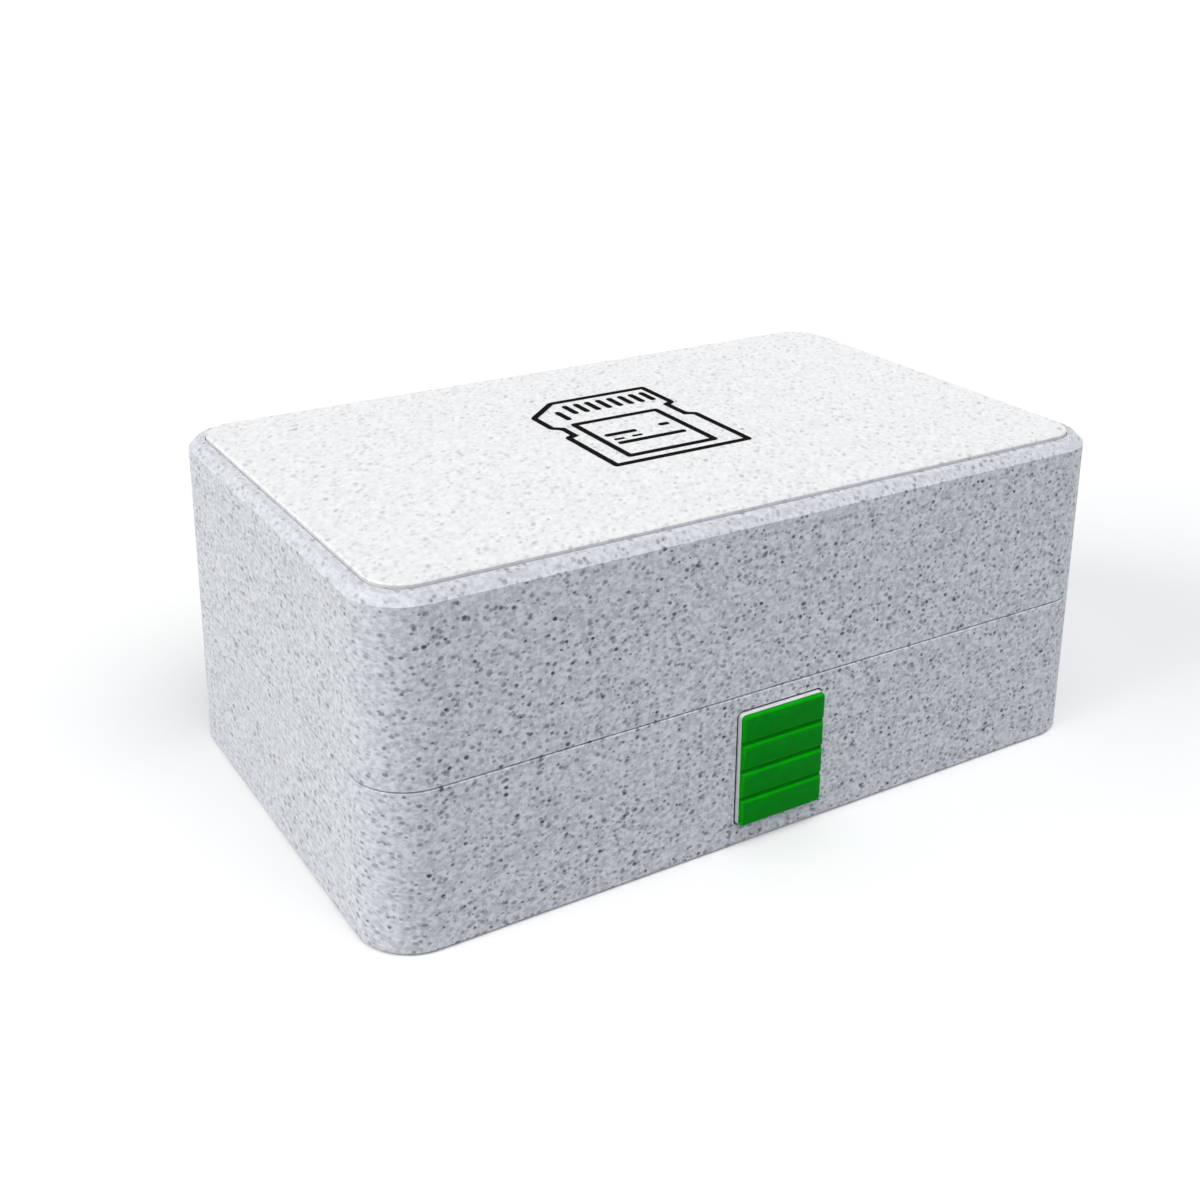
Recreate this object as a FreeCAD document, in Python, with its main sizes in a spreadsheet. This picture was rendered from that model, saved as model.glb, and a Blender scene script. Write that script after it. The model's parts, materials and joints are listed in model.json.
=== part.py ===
import FreeCAD, Part
import math
import os
import Sketcher

os.makedirs("parts", exist_ok=True)
doc = FreeCAD.newDocument("MemoryCardCase")
V = FreeCAD.Vector

# Frame: X runs along the length, Y from the front (-) to the hinge at the back (+), Z up from the table.
# All sizes are millimetres and degrees, each written once in this table.
TABLE = [
    ("case_length", 102.0, "overall length of the closed case"),
    ("case_depth", 62.0, "overall depth of the closed case"),
    ("case_height", 42.0, "overall height of the closed case"),
    ("seam_height", 19.6, "height of the seam between base and lid"),
    ("corner_radius", 6.6, "radius of the four upright corners"),
    ("wall", 2.4, "front and side walls of both shells"),
    ("back_wall", 4.2, "back wall of both shells, thick enough for the hinge"),
    ("floor_thickness", 2.0, "floor of the base"),
    ("roof_thickness", 1.4, "roof of the lid under the top panel"),
    ("foot_chamfer", 0.35, "chamfer round the underside"),
    ("rim_chamfer", 1.0, "chamfer round the top of the lid"),
    ("seam_gap", 0.15, "fine gap that shows at the seam, while the lid rests on the lip"),
    ("seam_break", 0.1, "small chamfer on both outer edges of the seam"),
    ("panel_inset", 2.2, "side of the case to the side of the top panel"),
    ("panel_rise", 0.55, "how far the top panel stands above the rim"),
    ("panel_thickness", 1.6, "thickness of the top panel"),
    ("panel_gap", 0.1, "gap round the panel in its recess"),
    ("panel_break", 0.15, "small chamfer on the panel's upper edge"),
    ("lip_height", 1.8, "how far the base's lip rises into the lid"),
    ("lip_thickness", 1.1, "thickness of that lip"),
    ("lip_gap", 0.25, "clearance round the lip in the lid's rebate"),
    ("lip_setback", 12.0, "back of the case to where the lip ends"),
    ("hinge_radius", 2.5, "outer radius of the hinge knuckles and inset of their axis"),
    ("hinge_pin", 2.0, "diameter of the hinge pins"),
    ("hinge_share", 0.255, "middle of the case to the middle of each hinge, as a share of the length"),
    ("lid_knuckle", 10.0, "length of the lid's knuckle"),
    ("base_knuckle", 8.0, "length of each of the base's two knuckles"),
    ("knuckle_gap", 0.3, "gap between knuckles, along and around them"),
    ("pin_fit", 0.02, "radial clearance of the pin in the base"),
    ("pin_running_fit", 0.06, "radial clearance of the pin in the lid"),
    ("pin_short", 0.2, "pin end below the end of its barrel"),
    ("hinge_bevel", 48.0, "angle of the bevels that let the lid swing open"),
    ("window_width", 12.5, "window for the button in the front wall"),
    ("window_height", 15.05, "height of that window"),
    ("window_bottom", 2.7, "lower edge of that window"),
    ("window_radius", 0.8, "corners of that window"),
    ("button_gap", 0.25, "gap round the button in its window"),
    ("button_proud", 0.55, "how far the button's body stands out of the wall"),
    ("release_margin", 0.4, "how far the pressed button pushes the barb past the wall"),
    ("face_inset", 0.05, "edge of the button to the edge of its green face"),
    ("face_thickness", 0.5, "thickness of the green face"),
    ("grip_grooves", 3, "grooves across the green face"),
    ("grip_groove", 0.5, "width of each of those grooves"),
    ("grip_web", 0.08, "thickness left under those grooves"),
    ("flange_reach", 1.2, "how far the button's flange reaches past the window"),
    ("flange_thickness", 1.2, "thickness of that flange"),
    ("flange_gap", 0.2, "front wall to the flange at rest"),
    ("flange_margin", 0.45, "lower edge of the button to the lower edge of the flange"),
    ("flange_height", 10.2, "height of that flange"),
    ("spring_spare", 1.5, "coil clearance left in the spring when the button is fully pressed"),
    ("spring_wire", 0.5, "wire of the spring"),
    ("spring_diameter", 6.0, "outer diameter of the spring"),
    ("spring_turns", 3, "turns of the spring"),
    ("spring_sides", 8, "sides of the wire, which is drawn with flats to keep its facets few"),
    ("spring_seat", 0.02, "clearance at each end of the spring"),
    ("boss_gap", 0.3, "gap between the spring and the bosses inside it"),
    ("boss_height", 1.2, "height of those bosses"),
    ("bracket_wall", 1.2, "cheeks of the latch bracket"),
    ("bracket_back", 1.5, "back plate of the latch bracket"),
    ("bracket_foot", 0.8, "foot plate of the latch bracket"),
    ("bracket_height", 12.0, "height of the latch bracket"),
    ("bracket_gap", 0.3, "side of the button's flange to a cheek"),
    ("catch_width", 8.0, "width of the lid's catch"),
    ("catch_thickness", 1.0, "thickness of its tongue"),
    ("catch_gap", 0.3, "front wall to the tongue"),
    ("catch_reach", 1.2, "how far the barb reaches under the wall"),
    ("catch_clear", 0.2, "clearance of the barb all round at rest"),
    ("catch_nose", 1.2, "height of the barb's front"),
    ("catch_ramp", 1.6, "height of the ramp below it"),
    ("catch_tip_gap", 0.9, "lower end of the tongue to the button's flange"),
    ("catch_root_gap", 2.4, "roof of the lid to the upper end of the root pad"),
    ("catch_free_share", 0.47, "share of the catch above the seam that hangs free"),
    ("tray_gap", 0.5, "base wall to the tray"),
    ("tray_back_gap", 1.2, "back wall to the tray, which clears the hinges"),
    ("tray_floor", 1.2, "floor of the tray"),
    ("tray_height", 15.2, "height of the tray"),
    ("tray_partition", 2.0, "walls between the bays"),
    ("tray_end_wall", 1.6, "front and back walls of the bays"),
    ("micro_share", 0.4758, "width of the small cards' bay as a share of a full size bay"),
    ("rack_gap", 0.15, "bay to rack on every side"),
    ("rack_floor", 1.5, "floor of a rack below its slots"),
    ("sd_fin", 1.95, "least thickness of the fins between the slots of a full size rack"),
    ("sd_slot", 2.5, "slot for a card 2.1 thick"),
    ("sd_depth", 12.0, "depth of those slots"),
    ("micro_fin", 1.9, "least thickness of the fins between the slots of the small rack"),
    ("micro_slot", 1.4, "slot for a small card 1.0 thick at its grip"),
    ("micro_depth", 8.0, "depth of those slots"),
    ("slot_lead", 0.4, "lead-in chamfer at the mouth of every slot"),
]

sheet = doc.addObject("Spreadsheet::Sheet", "Dimensions")
for row, (alias, number, note) in enumerate(TABLE, start=1):
    sheet.set("A%d" % row, alias)
    sheet.set("B%d" % row, str(number))
    sheet.setAlias("B%d" % row, alias)
    sheet.set("C%d" % row, note)
doc.recompute()


class Size:
    """A length that knows both its value now and its formula in terms of the sheet."""

    def __init__(self, value, text):
        self.value = value
        self.text = text

    @staticmethod
    def of(other):
        return other if isinstance(other, Size) else Size(float(other), repr(float(other)))

    def __add__(self, other):
        o = Size.of(other)
        return Size(self.value + o.value, "(%s + %s)" % (self.text, o.text))

    def __sub__(self, other):
        o = Size.of(other)
        return Size(self.value - o.value, "(%s - %s)" % (self.text, o.text))

    def __mul__(self, other):
        o = Size.of(other)
        return Size(self.value * o.value, "(%s * %s)" % (self.text, o.text))

    def __truediv__(self, other):
        o = Size.of(other)
        return Size(self.value / o.value, "(%s / %s)" % (self.text, o.text))

    def __radd__(self, other):
        return Size.of(other) + self

    def __rsub__(self, other):
        return Size.of(other) - self

    def __rmul__(self, other):
        return Size.of(other) * self

    def __neg__(self):
        return Size(-self.value, "(0 - %s)" % self.text)

    def whole(self):
        return Size(float(math.floor(self.value)), "floor(%s)" % self.text)

    def tangent(self):
        return Size(math.tan(math.radians(self.value)), "tan(%s * 1 deg)" % self.text)


class Sheet:
    """Gives every cell of the sheet as a Size under its alias."""

    def __init__(self):
        for alias, number, note in TABLE:
            setattr(self, alias, Size(float(getattr(sheet, alias)), "Dimensions." + alias))


d = Sheet()


def bind(thing, prop, size):
    setattr(thing, prop, size.value)
    thing.setExpression(prop, size.text)


def place(thing, x, y, z, rotation=None):
    thing.Placement = FreeCAD.Placement(V(x.value, y.value, z.value), rotation or FreeCAD.Rotation())
    for axis, size in zip("xyz", (x, y, z)):
        thing.setExpression("Placement.Base." + axis, size.text)


def new_body(label):
    body = doc.addObject("PartDesign::Body", label)
    body.Label = label
    return body


def origin(body, role):
    for feature in body.Origin.OriginFeatures:
        if feature.Role == role:
            return feature
    raise ValueError(role)


# Sketch planes: on XY a sketch looks up, on XZ it faces the front (-Y), on YZ it faces the right (+X).
# The offset moves the sketch along the way that it faces.
def new_sketch(body, name, role, offset):
    sketch = body.newObject("Sketcher::SketchObject", name)
    sketch.AttachmentSupport = [(origin(body, role), "")]
    sketch.MapMode = "FlatFace"
    sketch.AttachmentOffset = FreeCAD.Placement(V(0, 0, offset.value), FreeCAD.Rotation())
    sketch.setExpression("AttachmentOffset.Base.z", offset.text)
    return sketch


def hold(sketch, constraint, size):
    index = sketch.addConstraint(constraint)
    sketch.setExpression("Constraints[%d]" % index, size.text)


def pin_point(sketch, geo, pos, x, y):
    for kind, axis, size in (("DistanceX", -2, x), ("DistanceY", -1, y)):
        if size is None:
            sketch.addConstraint(Sketcher.Constraint("PointOnObject", geo, pos, axis))
        else:
            hold(sketch, Sketcher.Constraint(kind, -1, 1, geo, pos, size.value), size)


def polygon(sketch, points):
    first = sketch.GeometryCount
    flat = [V(0 if x is None else x.value, 0 if y is None else y.value, 0) for x, y in points]
    count = len(flat)
    for k in range(count):
        sketch.addGeometry(Part.LineSegment(flat[k], flat[(k + 1) % count]))
    for k in range(count):
        sketch.addConstraint(Sketcher.Constraint("Coincident", first + k, 2, first + (k + 1) % count, 1))
    for k, (x, y) in enumerate(points):
        pin_point(sketch, first + k, 1, x, y)


def rectangle(sketch, left, right, low, high):
    polygon(sketch, [(left, low), (right, low), (right, high), (left, high)])


def rounded(sketch, left, right, low, high, radius):
    first = sketch.GeometryCount
    centres = [(right - radius, high - radius), (left + radius, high - radius),
               (left + radius, low + radius), (right - radius, low + radius)]
    arcs = []
    for k, (x, y) in enumerate(centres):
        circle = Part.Circle(V(x.value, y.value, 0), V(0, 0, 1), radius.value)
        arcs.append(Part.ArcOfCircle(circle, math.radians(90 * k), math.radians(90 * k + 90)))
        sketch.addGeometry(arcs[k])
    for k in range(4):
        sketch.addGeometry(Part.LineSegment(arcs[k].EndPoint, arcs[(k + 1) % 4].StartPoint))
    for k in range(4):
        sketch.addConstraint(Sketcher.Constraint("Tangent", first + k, 2, first + 4 + k, 1))
        sketch.addConstraint(Sketcher.Constraint("Tangent", first + 4 + k, 2, first + (k + 1) % 4, 1))
    for k, (x, y) in enumerate(centres):
        hold(sketch, Sketcher.Constraint("Radius", first + k, radius.value), radius)
        pin_point(sketch, first + k, 3, x, y)


# A rectangle whose two lower corners are round and whose two upper corners are square
def half_rounded(sketch, left, right, low, high, radius):
    first = sketch.GeometryCount
    centres = [(left + radius, low + radius), (right - radius, low + radius)]
    arcs = []
    for k, (x, y) in enumerate(centres):
        circle = Part.Circle(V(x.value, y.value, 0), V(0, 0, 1), radius.value)
        arcs.append(Part.ArcOfCircle(circle, math.radians(180 + 90 * k), math.radians(270 + 90 * k)))
        sketch.addGeometry(arcs[k])
    corner_left = V(left.value, high.value, 0)
    corner_right = V(right.value, high.value, 0)
    sketch.addGeometry(Part.LineSegment(arcs[0].EndPoint, arcs[1].StartPoint))
    sketch.addGeometry(Part.LineSegment(arcs[1].EndPoint, corner_right))
    sketch.addGeometry(Part.LineSegment(corner_right, corner_left))
    sketch.addGeometry(Part.LineSegment(corner_left, arcs[0].StartPoint))
    for a, a_end, b, b_end in ((0, 2, 2, 1), (2, 2, 1, 1), (1, 2, 3, 1), (5, 2, 0, 1)):
        sketch.addConstraint(Sketcher.Constraint("Tangent", first + a, a_end, first + b, b_end))
    for a, b in ((3, 4), (4, 5)):
        sketch.addConstraint(Sketcher.Constraint("Coincident", first + a, 2, first + b, 1))
    for k, (x, y) in enumerate(centres):
        hold(sketch, Sketcher.Constraint("Radius", first + k, radius.value), radius)
        pin_point(sketch, first + k, 3, x, y)
    pin_point(sketch, first + 4, 1, right, high)
    pin_point(sketch, first + 5, 1, left, high)


def circle(sketch, x, y, radius):
    geo = sketch.addGeometry(Part.Circle(V(0 if x is None else x.value, y.value, 0), V(0, 0, 1), radius.value))
    hold(sketch, Sketcher.Constraint("Radius", geo, radius.value), radius)
    pin_point(sketch, geo, 3, x, y)


def pad(body, name, sketch, length, backward=False):
    feature = body.newObject("PartDesign::Pad", name)
    feature.Profile = sketch
    bind(feature, "Length", length)
    feature.Reversed = backward
    sketch.Visibility = False
    return feature


# A pocket cuts against the way its sketch faces, or with it where backward is set.
def pocket(body, name, sketch, length, backward=False):
    feature = body.newObject("PartDesign::Pocket", name)
    feature.Profile = sketch
    bind(feature, "Length", length)
    feature.Reversed = backward
    sketch.Visibility = False
    return feature


def chamfer_level(body, name, feature, level, size):
    doc.recompute()
    names = []
    for k, edge in enumerate(feature.Shape.Edges, start=1):
        if all(abs(v.Z - level.value) < 1e-6 for v in edge.Vertexes):
            names.append("Edge%d" % k)
    cut = body.newObject("PartDesign::Chamfer", name)
    cut.Base = (feature, names)
    bind(cut, "Size", size)
    return cut


def mirror_across(body, name, features):
    mirrored = body.newObject("PartDesign::Mirrored", name)
    mirrored.Originals = features
    mirrored.MirrorPlane = (origin(body, "YZ_Plane"), [""])
    body.Tip = mirrored
    return mirrored


def repeat(body, name, features, axis, length, count):
    pattern = body.newObject("PartDesign::LinearPattern", name)
    pattern.Originals = features
    pattern.Direction = (origin(body, axis), [""])
    bind(pattern, "Length", length)
    pattern.Occurrences = int(round(count.value))
    pattern.setExpression("Occurrences", count.text)
    body.Tip = pattern
    return pattern


# Shared positions, worked out from the table.
half_x = d.case_length / 2
half_y = d.case_depth / 2
inner_x = half_x - d.wall
inner_front = d.wall - half_y
inner_back = half_y - d.back_wall
inner_radius = d.corner_radius - d.wall
lip_x = inner_x + d.lip_thickness
lip_front = inner_front - d.lip_thickness
lip_radius = inner_radius + d.lip_thickness
lip_end = half_y - d.lip_setback
rim_top = d.case_height - d.panel_rise
panel_bottom = d.case_height - d.panel_thickness
roof_bottom = panel_bottom - d.roof_thickness
axis_y = half_y - d.hinge_radius
axis_z = d.seam_height + d.seam_gap / 2
lid_bottom = d.seam_height + d.seam_gap
barrel = d.lid_knuckle + 2 * d.base_knuckle + 2 * d.knuckle_gap
hinge_offset = d.case_length * d.hinge_share
barrel_start = hinge_offset - barrel / 2
barrel_end = hinge_offset + barrel / 2
relief_radius = d.hinge_radius + d.knuckle_gap
bevel_reach = d.hinge_radius + 1
bevel_rise = bevel_reach * d.hinge_bevel.tangent()
across_start = half_x + 1
across = d.case_length + 2

# Lower shell
base = new_body("base_shell")
zero = d.case_height - d.case_height
sketch = new_sketch(base, "base_outline", "XY_Plane", zero)
rounded(sketch, -half_x, half_x, -half_y, half_y, d.corner_radius)
block = pad(base, "base_block", sketch, d.seam_height)
block = chamfer_level(base, "base_foot", block, zero, d.foot_chamfer)
block = chamfer_level(base, "base_seam_edge", block, d.seam_height, d.seam_break)
sketch = new_sketch(base, "base_lip_outline", "XY_Plane", d.seam_height - d.wall)
half_rounded(sketch, -lip_x, lip_x, lip_front, lip_end, lip_radius)
pad(base, "base_lip", sketch, d.wall + d.lip_height)
sketch = new_sketch(base, "base_cavity_outline", "XY_Plane", d.seam_height + d.lip_height + 1)
rounded(sketch, -inner_x, inner_x, inner_front, inner_back, inner_radius)
pocket(base, "base_cavity", sketch, d.seam_height + d.lip_height + 1 - d.floor_thickness)
# The back edge is bevelled down from the hinge axis.
sketch = new_sketch(base, "base_bevel_outline", "YZ_Plane", across_start)
polygon(sketch, [(axis_y, axis_z), (half_y + 1, axis_z - bevel_rise),
                 (half_y + 1, d.seam_height + 1), (axis_y, d.seam_height + 1)])
pocket(base, "base_bevel", sketch, across)
sketch = new_sketch(base, "base_window_outline", "XZ_Plane", half_y + 1)
window_top = d.window_bottom + d.window_height
rounded(sketch, -d.window_width / 2, d.window_width / 2, d.window_bottom, window_top, d.window_radius)
pocket(base, "base_window", sketch, d.wall + 1.5)
sketch = new_sketch(base, "base_barrel_outline", "YZ_Plane", barrel_start)
circle(sketch, axis_y, axis_z, d.hinge_radius)
barrel_pad = pad(base, "base_barrel", sketch, barrel)
sketch = new_sketch(base, "base_relief_outline", "YZ_Plane", hinge_offset + d.lid_knuckle / 2 + d.knuckle_gap)
circle(sketch, axis_y, axis_z, relief_radius)
relief = pocket(base, "base_relief", sketch, d.lid_knuckle + 2 * d.knuckle_gap)
sketch = new_sketch(base, "base_bore_outline", "YZ_Plane", barrel_end)
circle(sketch, axis_y, axis_z, d.hinge_pin / 2 + d.pin_fit)
bore = pocket(base, "base_bore", sketch, barrel_end)
mirror_across(base, "base_hinges", [barrel_pad, relief, bore])

# Upper shell, built closed
lid = new_body("lid_shell")
sketch = new_sketch(lid, "lid_outline", "XY_Plane", lid_bottom)
rounded(sketch, -half_x, half_x, -half_y, half_y, d.corner_radius)
block = pad(lid, "lid_block", sketch, rim_top - lid_bottom)
block = chamfer_level(lid, "lid_rim", block, rim_top, d.rim_chamfer)
block = chamfer_level(lid, "lid_seam_edge", block, lid_bottom, d.seam_break)
sketch = new_sketch(lid, "lid_recess_outline", "XY_Plane", rim_top)
recess_x = half_x - d.panel_inset + d.panel_gap
recess_y = half_y - d.panel_inset + d.panel_gap
rounded(sketch, -recess_x, recess_x, -recess_y, recess_y, d.corner_radius - d.panel_inset + d.panel_gap)
pocket(lid, "lid_recess", sketch, rim_top - panel_bottom)
sketch = new_sketch(lid, "lid_cavity_outline", "XY_Plane", lid_bottom)
rounded(sketch, -inner_x, inner_x, inner_front, inner_back, inner_radius)
pocket(lid, "lid_cavity", sketch, roof_bottom - lid_bottom, backward=True)
# The lip fills the rebate to its full height, so the shut lid rests on the lip.
sketch = new_sketch(lid, "lid_rebate_outline", "XY_Plane", lid_bottom)
half_rounded(sketch, -lip_x - d.lip_gap, lip_x + d.lip_gap, lip_front - d.lip_gap, lip_end + d.lip_gap,
             lip_radius + d.lip_gap)
pocket(lid, "lid_rebate", sketch, d.lip_height - d.seam_gap, backward=True)
sketch = new_sketch(lid, "lid_bevel_outline", "YZ_Plane", across_start)
polygon(sketch, [(axis_y, axis_z), (axis_y, d.seam_height - 1), (half_y + 1, d.seam_height - 1),
                 (half_y + 1, axis_z + bevel_rise)])
pocket(lid, "lid_bevel", sketch, across)
relief_length = d.base_knuckle + 2 * d.knuckle_gap
sketch = new_sketch(lid, "lid_relief_outline_outer", "YZ_Plane", barrel_end + d.knuckle_gap)
circle(sketch, axis_y, axis_z, relief_radius)
relief_outer = pocket(lid, "lid_relief_outer", sketch, relief_length)
sketch = new_sketch(lid, "lid_relief_outline_inner", "YZ_Plane", hinge_offset - d.lid_knuckle / 2)
circle(sketch, axis_y, axis_z, relief_radius)
relief_inner = pocket(lid, "lid_relief_inner", sketch, relief_length)
sketch = new_sketch(lid, "lid_knuckle_outline", "YZ_Plane", hinge_offset - d.lid_knuckle / 2)
circle(sketch, axis_y, axis_z, d.hinge_radius)
knuckle = pad(lid, "lid_knuckle_barrel", sketch, d.lid_knuckle)
sketch = new_sketch(lid, "lid_bore_outline", "YZ_Plane", barrel_end)
circle(sketch, axis_y, axis_z, d.hinge_pin / 2 + d.pin_running_fit)
bore = pocket(lid, "lid_bore", sketch, barrel_end)
mirror_across(lid, "lid_hinges", [relief_outer, relief_inner, knuckle, bore])

# Flat panel set into the top of the lid
panel = new_body("lid_top_panel")
sketch = new_sketch(panel, "panel_outline", "XY_Plane", panel_bottom)
panel_x = half_x - d.panel_inset
panel_y = half_y - d.panel_inset
rounded(sketch, -panel_x, panel_x, -panel_y, panel_y, d.corner_radius - d.panel_inset)
block = pad(panel, "panel_plate", sketch, d.panel_thickness)
chamfer_level(panel, "panel_edge", block, d.case_height, d.panel_break)

# Push button: a block through the window, a flange behind the wall, a step for the barb and a spring boss
button_x = d.window_width / 2 - d.button_gap
button_low = d.window_bottom + d.button_gap
button_high = window_top - d.button_gap
button_front = half_y + d.button_proud
flange_front = inner_front + d.flange_gap
flange_back = flange_front + d.flange_thickness
flange_x = d.window_width / 2 + d.flange_reach
flange_low = button_low + d.flange_margin
flange_high = flange_low + d.flange_height
spring_z = (flange_low + flange_high) / 2
catch_tip = flange_high + d.catch_tip_gap
barb_front = inner_front - d.catch_reach
boss_radius = d.spring_diameter / 2 - d.spring_wire - d.boss_gap
button_travel = d.catch_reach + d.catch_clear + d.release_margin
spring_room = d.spring_turns * d.spring_wire + button_travel + d.spring_spare
button = new_body("latch_button")
sketch = new_sketch(button, "button_outline", "XZ_Plane", button_front)
rounded(sketch, -button_x, button_x, button_low, button_high, d.window_radius - d.button_gap)
pad(button, "button_block", sketch, button_front + flange_front, backward=True)
sketch = new_sketch(button, "button_flange_outline", "XZ_Plane", -flange_front)
rectangle(sketch, -flange_x, flange_x, flange_low, flange_high)
pad(button, "button_flange", sketch, d.flange_thickness, backward=True)
sketch = new_sketch(button, "button_step_outline", "XZ_Plane", d.catch_clear - barb_front)
rectangle(sketch, -button_x - 1, button_x + 1, catch_tip - d.catch_clear, button_high + 1)
pocket(button, "button_step", sketch, d.wall + d.flange_thickness)
sketch = new_sketch(button, "button_boss_outline", "XZ_Plane", -flange_back)
circle(sketch, None, spring_z, boss_radius)
pad(button, "button_boss", sketch, d.boss_height, backward=True)

# Green face of the button, with grooves across it for grip
face = new_body("button_face")
face_x = button_x - d.face_inset
sketch = new_sketch(face, "face_outline", "XZ_Plane", button_front)
face_low = button_low + d.face_inset
face_high = button_high - d.face_inset
face_radius = d.window_radius - d.button_gap - d.face_inset
rounded(sketch, -face_x, face_x, face_low, face_high, face_radius)
pad(face, "face_plate", sketch, d.face_thickness)
sketch = new_sketch(face, "face_groove_outline", "XZ_Plane", button_front + d.face_thickness)
groove_pitch = (face_high - face_low) / (d.grip_grooves + 1)
groove_low = face_low + groove_pitch - d.grip_groove / 2
rectangle(sketch, -face_x - 1, face_x + 1, groove_low, groove_low + d.grip_groove)
groove = pocket(face, "face_groove", sketch, d.face_thickness - d.grip_web)
repeat(face, "face_grooves", [groove], "Z_Axis", groove_pitch * (d.grip_grooves - 1), d.grip_grooves)

# Bracket behind the button: foot plate, back plate, two cheeks and a boss for the spring
bracket = new_body("latch_bracket")
bracket_front = flange_back + spring_room
bracket_rear = bracket_front + d.bracket_back
cheek_x = flange_x + d.bracket_gap
bracket_x = cheek_x + d.bracket_wall
sketch = new_sketch(bracket, "bracket_foot_outline", "XY_Plane", d.floor_thickness)
rectangle(sketch, -bracket_x, bracket_x, inner_front, bracket_rear)
pad(bracket, "bracket_foot_plate", sketch, d.bracket_foot)
sketch = new_sketch(bracket, "bracket_back_outline", "XY_Plane", d.floor_thickness)
rectangle(sketch, -bracket_x, bracket_x, bracket_front, bracket_rear)
pad(bracket, "bracket_back_plate", sketch, d.bracket_height)
sketch = new_sketch(bracket, "bracket_cheek_outline", "XY_Plane", d.floor_thickness)
rectangle(sketch, cheek_x, bracket_x, inner_front, bracket_front)
cheek = pad(bracket, "bracket_cheek", sketch, d.bracket_height)
mirror_across(bracket, "bracket_cheeks", [cheek])
sketch = new_sketch(bracket, "bracket_boss_outline", "XZ_Plane", -bracket_front)
circle(sketch, None, spring_z, boss_radius)
bracket.Tip = pad(bracket, "bracket_boss", sketch, d.boss_height)

# Springy tongue on the lid, in side view: root pad on the front wall, tongue, barb and ramp
catch = new_body("lid_catch")
sketch = new_sketch(catch, "catch_profile", "YZ_Plane", -d.catch_width / 2)
tongue_front = inner_front + d.catch_gap
tongue_back = tongue_front + d.catch_thickness
root_high = roof_bottom - d.catch_root_gap
root_low = d.seam_height + (root_high - d.seam_height) * d.catch_free_share
barb_top = window_top - d.catch_clear
barb_low = barb_top - d.catch_nose
polygon(sketch, [(inner_front, root_high), (inner_front, root_low), (tongue_front, root_low),
                 (tongue_front, barb_top), (barb_front, barb_top), (barb_front, barb_low),
                 (tongue_front, barb_low - d.catch_ramp), (tongue_back, barb_low - d.catch_ramp),
                 (tongue_back, root_high)])
pad(catch, "catch_tongue", sketch, d.catch_width)

# Drop-in tray: a block with a notch for the latch, four bays and two bins
tray = new_body("card_tray")
tray_x = inner_x - d.tray_gap
tray_front = inner_front + d.tray_gap
tray_back = inner_back - d.tray_back_gap
tray_top = d.floor_thickness + d.tray_height
notch_x = bracket_x + d.tray_gap
notch_back = bracket_rear + d.tray_gap
bay_front = notch_back + d.tray_end_wall
bay_back = tray_back - d.tray_end_wall
sd_bay = (2 * tray_x - 5 * d.tray_partition) / (3 + d.micro_share)
bay_pitch = sd_bay + d.tray_partition
bay_left = [-tray_x + d.tray_partition + bay_pitch * k for k in range(4)]
bay_right = [left + sd_bay for left in bay_left[:3]] + [tray_x - d.tray_partition]
sketch = new_sketch(tray, "tray_outline", "XY_Plane", d.floor_thickness)
rounded(sketch, -tray_x, tray_x, tray_front, tray_back, inner_radius - d.tray_gap)
pad(tray, "tray_block", sketch, d.tray_height)
sketch = new_sketch(tray, "tray_notch_outline", "XY_Plane", tray_top + 1)
rectangle(sketch, -notch_x, notch_x, tray_front - 1, notch_back)
pocket(tray, "tray_notch", sketch, d.tray_height + 2)
sketch = new_sketch(tray, "tray_bay_outline", "XY_Plane", tray_top)
for left, right in zip(bay_left, bay_right):
    rectangle(sketch, left, right, bay_front, bay_back)
pocket(tray, "tray_bays", sketch, d.tray_height - d.tray_floor)
sketch = new_sketch(tray, "tray_bin_outline", "XY_Plane", tray_top)
rectangle(sketch, notch_x + d.tray_partition, tray_x - d.tray_partition, tray_front + d.tray_end_wall, notch_back)
bin_right = pocket(tray, "tray_bin", sketch, d.tray_height - d.tray_floor)
mirror_across(tray, "tray_bins", [bin_right])


# Slotted rack, built about its own middle and set into its bay
def rack(label, left, right, least_fin, slot_width, slot_depth):
    body = new_body(label)
    rack_x = (right - left) / 2 - d.rack_gap
    rack_y = (bay_back - bay_front) / 2 - d.rack_gap
    height = d.rack_floor + slot_depth
    outline = new_sketch(body, label + "_outline", "XY_Plane", zero)
    rectangle(outline, -rack_x, rack_x, -rack_y, rack_y)
    pad(body, label + "_block", outline, height)
    slots = ((2 * rack_y - least_fin) / (slot_width + least_fin)).whole()
    fin = (2 * rack_y - slots * slot_width) / (slots + 1)
    near = fin - rack_y
    far = near + slot_width
    profile = new_sketch(body, label + "_slot_profile", "YZ_Plane", rack_x + 1)
    polygon(profile, [(near, d.rack_floor), (far, d.rack_floor), (far, height - d.slot_lead),
                      (far + d.slot_lead * 2, height + d.slot_lead), (near - d.slot_lead * 2, height + d.slot_lead),
                      (near, height - d.slot_lead)])
    first = pocket(body, label + "_slot", profile, 2 * rack_x + 2)
    repeat(body, label + "_slots", [first], "Y_Axis", (fin + slot_width) * (slots - 1), slots)
    place(body, (left + right) / 2, (bay_front + bay_back) / 2, d.floor_thickness + d.tray_floor)
    return body


racks = []
for k, side in enumerate(("left", "middle", "right")):
    racks.append(rack("sd_rack_" + side, bay_left[k], bay_right[k], d.sd_fin, d.sd_slot, d.sd_depth))
racks.append(rack("microsd_rack", bay_left[3], bay_right[3], d.micro_fin, d.micro_slot, d.micro_depth))


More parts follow.
